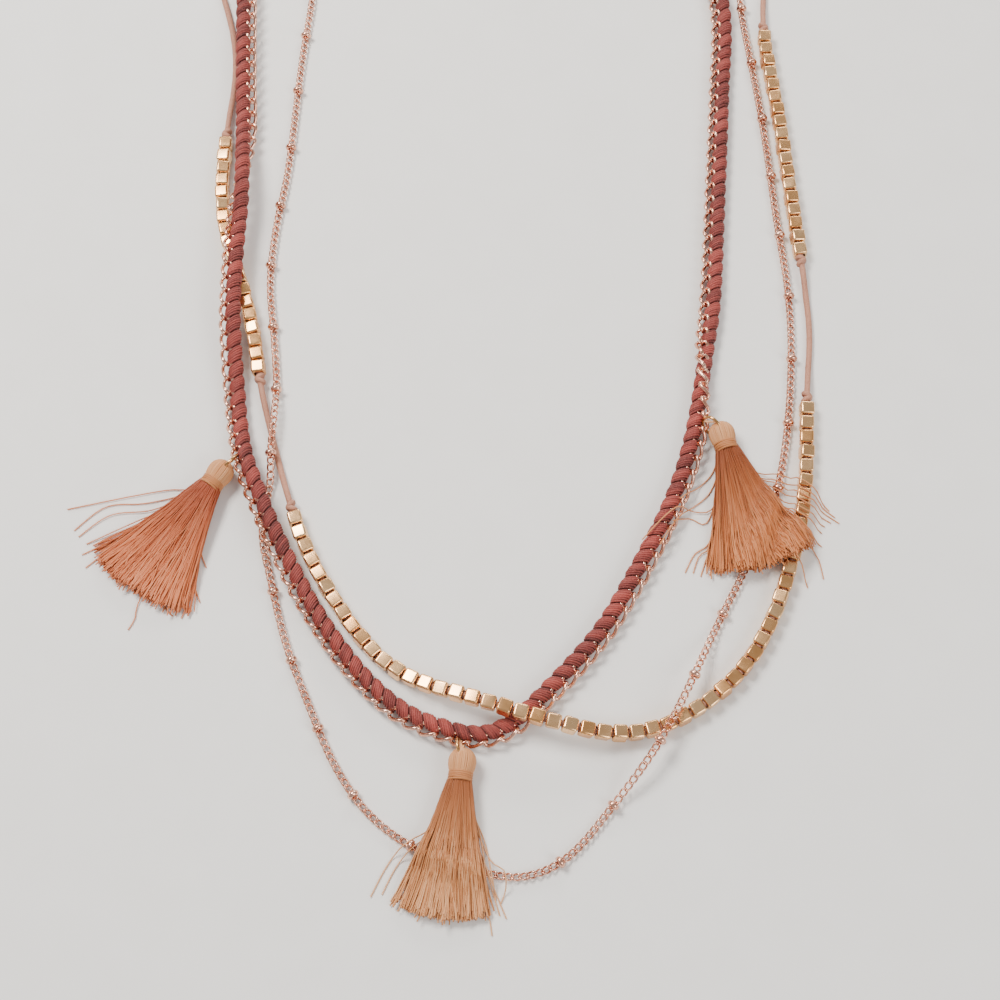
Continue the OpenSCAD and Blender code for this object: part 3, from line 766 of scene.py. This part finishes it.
def makeFineChain():
    rng = random.Random(fineChain["seed"])
    count = int((fine.length - 2 * strand["capDepth"]) / fineChain["pitch"]) + 1
    start = (fine.length - (count - 1) * fineChain["pitch"]) / 2
    s = start + np.arange(count) * fineChain["pitch"]
    centres = fine.at(s) - np.array((0, 0, fineChain["lower"]))
    forward, outward, upward = fine.axes(s)
    lean = np.radians([rng.uniform(-fineChain["lean"], fineChain["lean"]) for _ in s])[:, None]
    side = outward * np.cos(lean) + upward * np.sin(lean)
    tone = np.array([rng.random() for _ in s])
    isDrum = np.arange(count) % fineChain["everyDrum"] == fineChain["everyDrum"] // 2
    links = madeBy(setLinks, placesObject(centres, forward, side, tone), "fineLinks",
                   Length=fineChain["length"], Width=fineChain["width"], Wire=fineChain["wire"],
                   Twist=fineChain["twist"], Points=fineChain["points"], Sides=fineChain["sides"],
                   Material=linkGold)
    raised = centres[isDrum] + np.array((0, 0, fineChain["lower"] + fineChain["raise"]))
    drums = madeBy(setPieces, placesObject(raised, forward[isDrum], side[isDrum], tone[isDrum]),
                   "drums", Piece=drumObject(), Material=linkGold)
    finished(joined("fineLinks", [links, drums]), "fine_rose_chain", "fine_chain")


makeFineChain()


# The cube beads, drilled and with rounded edges, each at its solid's place

beadShape = {"bevel": 0.46 * mm, "bore": 0.95 * mm, "leastRound": 0.06 * mm, "roundness": 6, "steps": 3,
             "rolls": (0.3, -1, 0.6, 0, -0.5, 1, -0.2), "yaw": 4, "reach": 1.6 * mm, "runGap": 6 * mm,
             "seed": 21}


def roundedSquare(half, corner, perCorner):
    points = []
    for quarter in range(4):
        for k in range(perCorner):
            a = math.radians(90 * quarter + 90 * k / (perCorner - 1))
            cx = (half - corner) * (1 if quarter in (0, 3) else -1)
            cy = (half - corner) * (1 if quarter in (0, 1) else -1)
            points.append((cx + corner * math.cos(a), cy + corner * math.sin(a)))
    return points


def beadObject():
    half, bevel, per = strand["beadSize"] / 2, beadShape["bevel"], beadShape["roundness"]
    rings = [(-half, None)]
    for k in range(beadShape["steps"], -1, -1):
        a = math.pi / 2 * k / beadShape["steps"]
        rings.append((-half + bevel * (1 - math.sin(a)), bevel * (1 - math.cos(a))))
    rings += [(-x, inset) for x, inset in rings[::-1]]
    outlines = []
    for x, inset in rings:
        if inset is None:       # the bore's edge
            outline = roundedSquare(half, half, per)
            outline = [(y * beadShape["bore"] / half, z * beadShape["bore"] / half) for y, z in outline]
        else:
            outline = roundedSquare(half - inset, max(bevel - inset, beadShape["leastRound"]), per)
        outlines.append([(x, y, z) for y, z in outline])
    return ringedObject("bead", outlines)


def startsRun(k):        # whether the bead is the first one after a bare stretch of cord
    return k == 0 or beadPlaces[k] - beadPlaces[k - 1] > beadShape["runGap"]


def weighted(piece):     # normals that keep the flat faces flat beside their rounded edges
    modifier = piece.modifiers.new("flatFaces", "WEIGHTED_NORMAL")
    modifier.weight = 100
    bpy.context.view_layer.update()
    mesh = bpy.data.meshes.new_from_object(
        piece.evaluated_get(bpy.context.evaluated_depsgraph_get()))
    piece.modifiers.clear()
    piece.data = mesh


def makeBeads():
    rng = random.Random(beadShape["seed"])
    forward, outward, upward = beads.axes(beadPlaces, beadShape["reach"])
    turns, inRun = [], 0
    for k in range(len(beadPlaces)):
        inRun = 0 if startsRun(k) else inRun + 1
        turns.append(beadShape["rolls"][inRun % len(beadShape["rolls"])] * strand["beadTurn"])
    turns = np.radians(turns)[:, None]
    side = outward * np.cos(turns) + upward * np.sin(turns)
    yaw = np.radians([rng.uniform(-beadShape["yaw"], beadShape["yaw"]) for _ in beadPlaces])[:, None]
    turned = forward * np.cos(yaw) + side * np.sin(yaw)
    tone = [rng.random() for _ in beadPlaces]
    made = madeBy(setPieces, placesObject(beadCentres, turned, side, tone), "cubeBeads",
                  Piece=beadObject(), Material=beadGold)
    weighted(made)
    finished(made, "gold_beads", "cube_beads")


makeBeads()


# The waxed cord, with a knot at both ends of each run of beads

cordShape = {"sides": 10, "start": 0.4 * mm, "step": 0.8 * mm, "flat": 0.06, "loop": 0.62 * mm,
             "loopWire": 0.54 * mm, "loopTilt": 32, "loopShift": 0.45 * mm, "loopPoints": 14,
             "knotGap": 0.15 * mm, "seed": 3}


def knotLoops(s, rng):       # two loops that lean opposite ways
    loops = []
    centre = beads.at(s)[0]
    forward, outward, upward = (v[0] for v in beads.axes(s))
    a = np.linspace(0, 2 * math.pi, cordShape["loopPoints"], endpoint=False)[:, None]
    lateral = cordShape["loop"] * np.cos(a)
    for way in (1, -1):
        slope = math.tan(math.radians(cordShape["loopTilt"])) * way
        loops.append({"points": centre + lateral * outward + cordShape["loop"] * np.sin(a) * upward
                      + (lateral * slope - cordShape["loopShift"] * way) * forward,
                      "closed": True, "thickness": cordShape["loopWire"], "tone": rng.random()})
    return loops


def makeCord():
    rng = random.Random(cordShape["seed"])
    places = np.arange(cordShape["start"], beads.length, cordShape["step"])
    wobble = [rng.uniform(1 - cordShape["flat"], 1) for _ in places]
    lines = [{"points": beads.at(places), "thickness": cordLow * np.array(wobble), "tone": 0.5}]
    starts = [k for k in range(len(beadPlaces)) if startsRun(k)]
    ends = [*(k - 1 for k in starts[1:]), len(beadPlaces) - 1]
    away = strand["beadSize"] / 2 + strand["knotLength"] / 2 + cordShape["knotGap"]
    for first, last in zip(starts, ends):
        lines += knotLoops(beadPlaces[first] - away, rng) + knotLoops(beadPlaces[last] + away, rng)
    cord = madeBy(sweep, linesObject(lines), "beadCord", Sides=cordShape["sides"], Material=waxedCord)
    finished(cord, "cord_thread", "bead_cord")


makeCord()


# The tassels: a wound head, a bound neck, a skirt of loose threads and some strays

tasselShape = {"headD": 5.2 * mm, "ringR": 2.15 * mm, "ringLift": 0.65, "bite": 0.5 * mm,
               "length": 31.5 * mm, "neckR": 2.1 * mm, "thread": 0.14 * mm, "sides": 4}
skirtShape = {"start": 0.42, "neckFill": 0.9, "pileNeck": 3.2 * mm, "pileHem": 2.4 * mm, "fallEnd": 0.55,
              "widest": 1.2, "hemRound": 0.05, "hemUneven": (-0.05, 0.02), "slack": 2.4 * mm, "points": 12}
threadHabits = {
    "tidy": {"tipSpread": 0.08, "sway": (0.1, 0.35)},
    "loose": {"tipSpread": 0.32, "sway": (0.3, 0.9), "longer": 0.05},
}
strayShape = {"start": 2.4, "thinner": 0.95, "lift": 0.2, "arch": 0.5, "fallEnd": 0.3, "slack": 2.8 * mm,
              "points": 26}
headShape = {"inset": 0.14 * mm, "threads": 46, "thread": 0.2 * mm, "neckTuck": 0.93, "bindings": 5,
             "bindingStart": 2.2, "bindingPitch": 0.36, "bindingOut": 0.06 * mm, "bindingTilt": 0.06,
             "bindingPoints": 20, "binding": 0.23 * mm, "ties": 3, "tie": 0.17 * mm,
             "tiePitch": 0.32 * mm, "tiePoints": 12, "sides": 6, "coreSides": 16}
headSections = [(-2.2, 0.2), (-1.9, 1.0), (-1.2, 1.75), (0, 2.2), (1.2, 2.1), (2.2, 1.85), (4.2, 1.8),
                (4.6, 0.3)]      # the core's places along the head and its radii there, in mm
passing = {"step": 0.8 * mm, "nearBead": 2.4 * mm}      # how the strands under the threads are sampled
tasselKinds = {
    "left": {"hang": 229, "heading": 237, "halfHem": 9.8, "threads": 800, "mess": 0.42, "seed": 31},
    "centre": {"hang": -84, "heading": 263, "halfHem": 8.0, "threads": 760, "mess": 0.12, "seed": 32},
    "right": {"hang": -37, "heading": 284, "halfHem": 9.2, "threads": 780, "mess": 0.28, "seed": 33},
}
# Strays that lie beside each skirt, as (degrees from the skirt's middle, distance from the head in mm)
strays = {
    "left": [
        [(-30, 7), (-42, 11.8), (-44, 31.3)], [(-30, 9), (-36, 16.2), (-41, 23.7), (-35, 31)],
        [(-26, 9), (-29, 15.7), (-36, 23.3), (-32, 30.6)], [(-22, 11), (-26, 18.4), (-28, 29.8)],
        [(-20, 13), (-23, 21), (-25, 31.5)], [(-18, 14), (-21, 23.7), (-20, 32.3)],
        [(2, 22), (4, 30.5), (6, 33.6), (6, 36.2)], [(13, 11), (16, 18.9), (27, 26.8)],
        [(14, 8), (20, 15.3), (27, 19.5)], [(13, 10), (18, 19.7), (25, 25.5)],
        [(22, 4), (23, 8), (21, 13.3), (17, 19)], [(15, 12), (19, 20.7), (22, 29.1)],
        [(12, 12), (14, 21.3), (20, 29.4)], [(10, 16), (13, 27.9), (18, 30.5)]],
    "centre": [
        [(-14, 6), (-18, 12.8), (-29, 21.2), (-27, 29.9)],
        [(-14, 7), (-18, 14.7), (-25, 21.7), (-24, 28.4)],
        [(-13, 9), (-17, 16.8), (-20, 28.7)], [(-13, 10), (-18, 18), (-19, 29)],
        [(-13, 12), (-18, 20.1), (-16, 29.7)], [(14, 10), (20, 20.5), (23, 29.9)],
        [(16, 9), (23, 18.8), (28, 21.7), (26, 24.9), (22, 27.2)], [(15, 12), (20, 22.3), (21, 29.1)],
        [(13, 16), (17, 28.5), (17, 32.3)], [(17, 8), (23, 15), (22, 20.6), (21, 26.1)]],
    "right": [
        [(20, 5), (23, 9.8), (35, 20.1), (37, 29.3)], [(18, 6), (23, 9.8), (38, 19.4), (38, 27.9)],
        [(20, 6), (24, 9), (42, 18.5), (39, 26.2)], [(17, 7), (21, 11.4), (35, 28)],
        [(15, 8), (18, 13.6), (32, 27.6)], [(15, 9), (20, 16.4), (29, 28.1)],
        [(15, 10), (21, 19.3), (25, 30.1)], [(14, 16), (20, 27.9), (21, 31.3), (18, 35.6)],
        [(10, 18), (13, 29.6), (12, 35.6)], [(-17, 12), (-22, 22.4), (-28, 25.7), (-30, 30)],
        [(-16, 13), (-22, 23.5), (-26, 25.9), (-27, 29.7)],
        [(-15, 14), (-22, 24.5), (-23, 26.7), (-24, 30.1)],
        [(-24, 5), (-32, 9.3), (-46, 17)], [(-18, 9), (-24, 16.1), (-45, 19), (-50, 28.6)],
        [(-20, 7), (-28, 12.8), (-41, 19.5), (-43, 27.5)],
        [(-18, 10), (-25, 18.7), (-36, 18.8), (-43, 21.8)]],
}


def strandTops():        # places along the strands: x, y, the top's height and half the width
    tops = []
    for path, thin in ((fine, fineLow), (beads, cordLow), (rope, ropeR)):
        s = np.arange(0, path.length, passing["step"])
        at = path.at(s)
        half = np.full(len(s), thin)
        if path is beads:
            toBead = np.min(np.abs(s[:, None] - beadPlaces[None]), axis=1)
            half[toBead < passing["nearBead"]] = beadHalf
        tops.append(np.column_stack([at[:, :2], at[:, 2] + half, half]))
    return np.vstack(tops)


passedOver = strandTops()


def rideHeight(points, slack):       # how high a thread must lie to clear the strands below it
    gap = np.linalg.norm(points[:, None] - passedOver[None, :, :2], axis=2) - passedOver[None, :, 3]
    return (passedOver[None, :, 2] * softStep(1 - gap / slack)).max(axis=1)


def headPlace(side):     # the middles of the head and of the ring that it hangs on
    low, high = (np.array(v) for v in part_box("ring_" + side))
    centre = (low + high) / 2
    ringR, headD = tasselShape["ringR"], tasselShape["headD"]
    lift = tasselShape["ringLift"] * headD - centre[2]
    rise = math.asin(min(1, lift / (ringR - strand["gap"] / 2)))
    a = math.radians(tasselKinds[side]["hang"])
    reach = (ringR + tasselShape["bite"]) * math.cos(rise)
    return np.array((centre[0] + reach * math.cos(a), centre[1] + reach * math.sin(a), headD / 2)), centre


def skirtThread(kind, rng, head, ahead, aside):
    t = np.linspace(0, 1, skirtShape["points"])
    u = rng.uniform(-1, 1)       # its side of the skirt
    layer = rng.random() ** 0.7       # its height in the pile
    loose = rng.random() < kind["mess"]
    habit = threadHabits["loose" if loose else "tidy"]
    uEnd = u + rng.gauss(0, habit["tipSpread"])
    uEnd = max(-skirtShape["widest"], min(skirtShape["widest"], uEnd))
    angle = rng.uniform(0, 2 * math.pi)
    spread = math.sqrt(rng.random())
    neck = tasselShape["neckR"] * skirtShape["neckFill"]
    neckSide = neck * (0.8 * u + 0.2 * spread * math.cos(angle))
    neckHeight = neck * (2 * layer - 1) * math.sqrt(max(0.05, 1 - 0.8 * u * u))
    sway = rng.uniform(*habit["sway"])
    wave = sway * mm * t * np.sin(rng.uniform(0, 6.3) + t * rng.uniform(4, 11))
    across = neckSide * (1 - t) ** 1.5 + (u * (1 - t) + uEnd * t) * kind["halfHem"] * mm * t ** 0.92 + wave
    reach = tasselShape["length"] - tasselShape["headD"] / 2
    even = 1 - skirtShape["hemRound"] * uEnd * uEnd + rng.uniform(*skirtShape["hemUneven"])
    if loose:
        even += habit["longer"] * rng.random() ** 3
    start = skirtShape["start"] * tasselShape["headD"]
    along = start + (reach * even - start) * t
    plan = head[:2] + along[:, None] * ahead + across[:, None] * aside
    pile = skirtShape["pileNeck"] * (1 - t) + skirtShape["pileHem"] * t
    # the pile is thinner at the skirt's sides
    pile = pile * np.sqrt(np.clip(1 - 0.75 * (across / (kind["halfHem"] * mm * 1.1)) ** 2, 0.1, 1))
    lying = rideHeight(plan, skirtShape["slack"]) + tasselShape["thread"] + layer * pile
    fall = softStep(t / skirtShape["fallEnd"])
    height = (head[2] + neckHeight) * (1 - fall) + lying * fall
    return {"points": np.column_stack([plan, np.maximum(height, lying * fall)]),
            "thickness": tasselShape["thread"] * rng.uniform(0.8, 1.15), "share": t,
            "tone": min(1, rng.random() ** 1.6)}


def strayThread(knots, kind, rng, head):
    heading = math.radians(kind["heading"])
    flat = []
    for degrees, distance in [(knots[0][0] * 0.5, strayShape["start"]), *knots]:
        a = heading + math.radians(degrees)
        flat.append(head[:2] + distance * mm * np.array((math.cos(a), math.sin(a))))
    line = smoothed([tuple(p) for p in flat])
    s = distances(line)
    places = np.linspace(0, s[-1], strayShape["points"])
    plan = np.column_stack([np.interp(places, s, line[:, 0]), np.interp(places, s, line[:, 1])])
    share = places / s[-1]
    arch = strayShape["arch"] * rng.random() * np.sin(share * math.pi)
    height = rideHeight(plan, strayShape["slack"]) + (strayShape["lift"] + arch) * mm
    height = np.maximum(height, (head[2] + 0.6 * mm) * softStep(1 - share / strayShape["fallEnd"]))
    return {"points": np.column_stack([plan, height]),
            "thickness": tasselShape["thread"] * strayShape["thinner"],
            "share": 0.55 + 0.45 * share, "tone": 0.9}


def headThreads(rng, head, forward, aside):
    lines = []
    r, neck = tasselShape["headD"] / 2 - headShape["inset"], tasselShape["neckR"]
    up = np.array((0, 0, 1.0))
    for k in range(headShape["threads"]):
        a = 2 * math.pi * (k + rng.uniform(-0.2, 0.2)) / headShape["threads"]
        across = math.cos(a) * aside + math.sin(a) * up
        x = np.concatenate([-r * np.cos(np.linspace(0.15, math.pi / 2, 8)), [0.35 * r, 0.65 * r, 0.95 * r]])
        radial = np.where(x < 0, np.sqrt(np.maximum(0, r * r - x * x)),
                          r - (r - neck * headShape["neckTuck"]) * (np.maximum(x, 0) / (0.95 * r)) ** 2)
        lines.append({"points": head + x[:, None] * forward + radial[:, None] * across,
                      "thickness": headShape["thread"], "share": 0.75, "tone": rng.uniform(0.25, 0.75)})
    bound = neck + headShape["bindingOut"]
    a = np.linspace(0, 2 * math.pi, headShape["bindingPoints"], endpoint=False)[:, None]
    for k in range(headShape["bindings"]):
        x = (headShape["bindingStart"] + headShape["bindingPitch"] * k) * mm
        tilt = rng.uniform(-headShape["bindingTilt"], headShape["bindingTilt"])
        wide = bound * np.cos(a)
        lines.append({"points": head + wide * aside + bound * np.sin(a) * up + (x + tilt * wide) * forward,
                      "closed": True, "thickness": headShape["binding"], "share": 0.5,
                      "tone": rng.uniform(0.1, 0.5)})
    return lines


def tieThreads(side, head, ring, forward, aside):        # from the head over the ring; the left has none
    lines = []
    if side == "left":
        return lines
    back = ring + (ring - head) * 0.45
    top = np.array((0, 0, 1.0))
    for k in range(headShape["ties"]):
        shift = (k - (headShape["ties"] - 1) / 2) * headShape["tiePitch"]
        knots = np.array([head + 0.2 * mm * forward + 2.3 * mm * top + aside * shift,
                          head - 1.9 * mm * forward + 1.9 * mm * top + aside * (shift - 0.3 * mm),
                          back + 0.7 * mm * top + aside * (shift * 0.7 - 0.3 * mm),
                          back - 0.5 * mm * forward - 0.3 * mm * top + aside * shift * 0.5])
        s = np.linspace(0, len(knots) - 1, headShape["tiePoints"])
        points = np.column_stack([np.interp(s, range(len(knots)), knots[:, i]) for i in range(3)])
        points[1:-1] = (points[:-2] + 2 * points[1:-1] + points[2:]) / 4
        lines.append({"points": points, "thickness": headShape["tie"], "share": 0.9, "tone": 1.0})
    return lines


def headCore(head, forward):
    line = {"points": [head + x * mm * forward for x, _ in headSections],
            "thickness": [r * mm for _, r in headSections], "share": 0.3, "tone": 0.0}
    return madeBy(sweep, linesObject([line]), "headCore", Sides=headShape["coreSides"],
                  Material=peachThread)


def makeTassel(side, material, slot):
    kind = tasselKinds[side]
    rng = random.Random(kind["seed"])
    head, ring = headPlace(side)
    a = math.radians(kind["heading"])
    ahead, aside = np.array((math.cos(a), math.sin(a))), np.array((-math.sin(a), math.cos(a)))
    forward, sideways = np.array((*ahead, 0)), np.array((*aside, 0))
    skirt = [skirtThread(kind, rng, head, ahead, aside) for _ in range(kind["threads"])]
    loose = [strayThread(knots, kind, rng, head) for knots in strays[side]]
    wound = headThreads(rng, head, forward, sideways)
    wound += tieThreads(side, head, ring, forward, sideways)
    skirtPart = madeBy(sweep, linesObject(skirt + loose), "skirt", Sides=tasselShape["sides"],
                       Material=material)
    headPart = madeBy(sweep, linesObject(wound), "head", Sides=headShape["sides"], Material=peachThread)
    name = "tassel" + side.capitalize()
    finished(joined(name, [skirtPart, headPart, headCore(head, forward)]), slot, "tassel_" + side)


makeTassel("left", salmonThread, "tassel_thread_salmon")
makeTassel("centre", peachThread, "tassel_thread")
makeTassel("right", apricotThread, "tassel_thread")


# The rings, caps, collectors, back chain and clasp keep their solids and get the gold finish

keptNodes = ["ring_left", "ring_centre", "ring_right", "rope_cap_left", "cord_cap_left", "chain_cap_left",
             "rope_cap_right", "cord_cap_right", "chain_cap_right", "collector_left", "collector_right",
             "back_chain_left", "back_chain_right", "clasp", "clasp_ring"]
for node in keptNodes:
    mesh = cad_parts[node].data
    mesh.materials.clear()
    mesh.materials.append(fittingGold)
print("fittings finished")
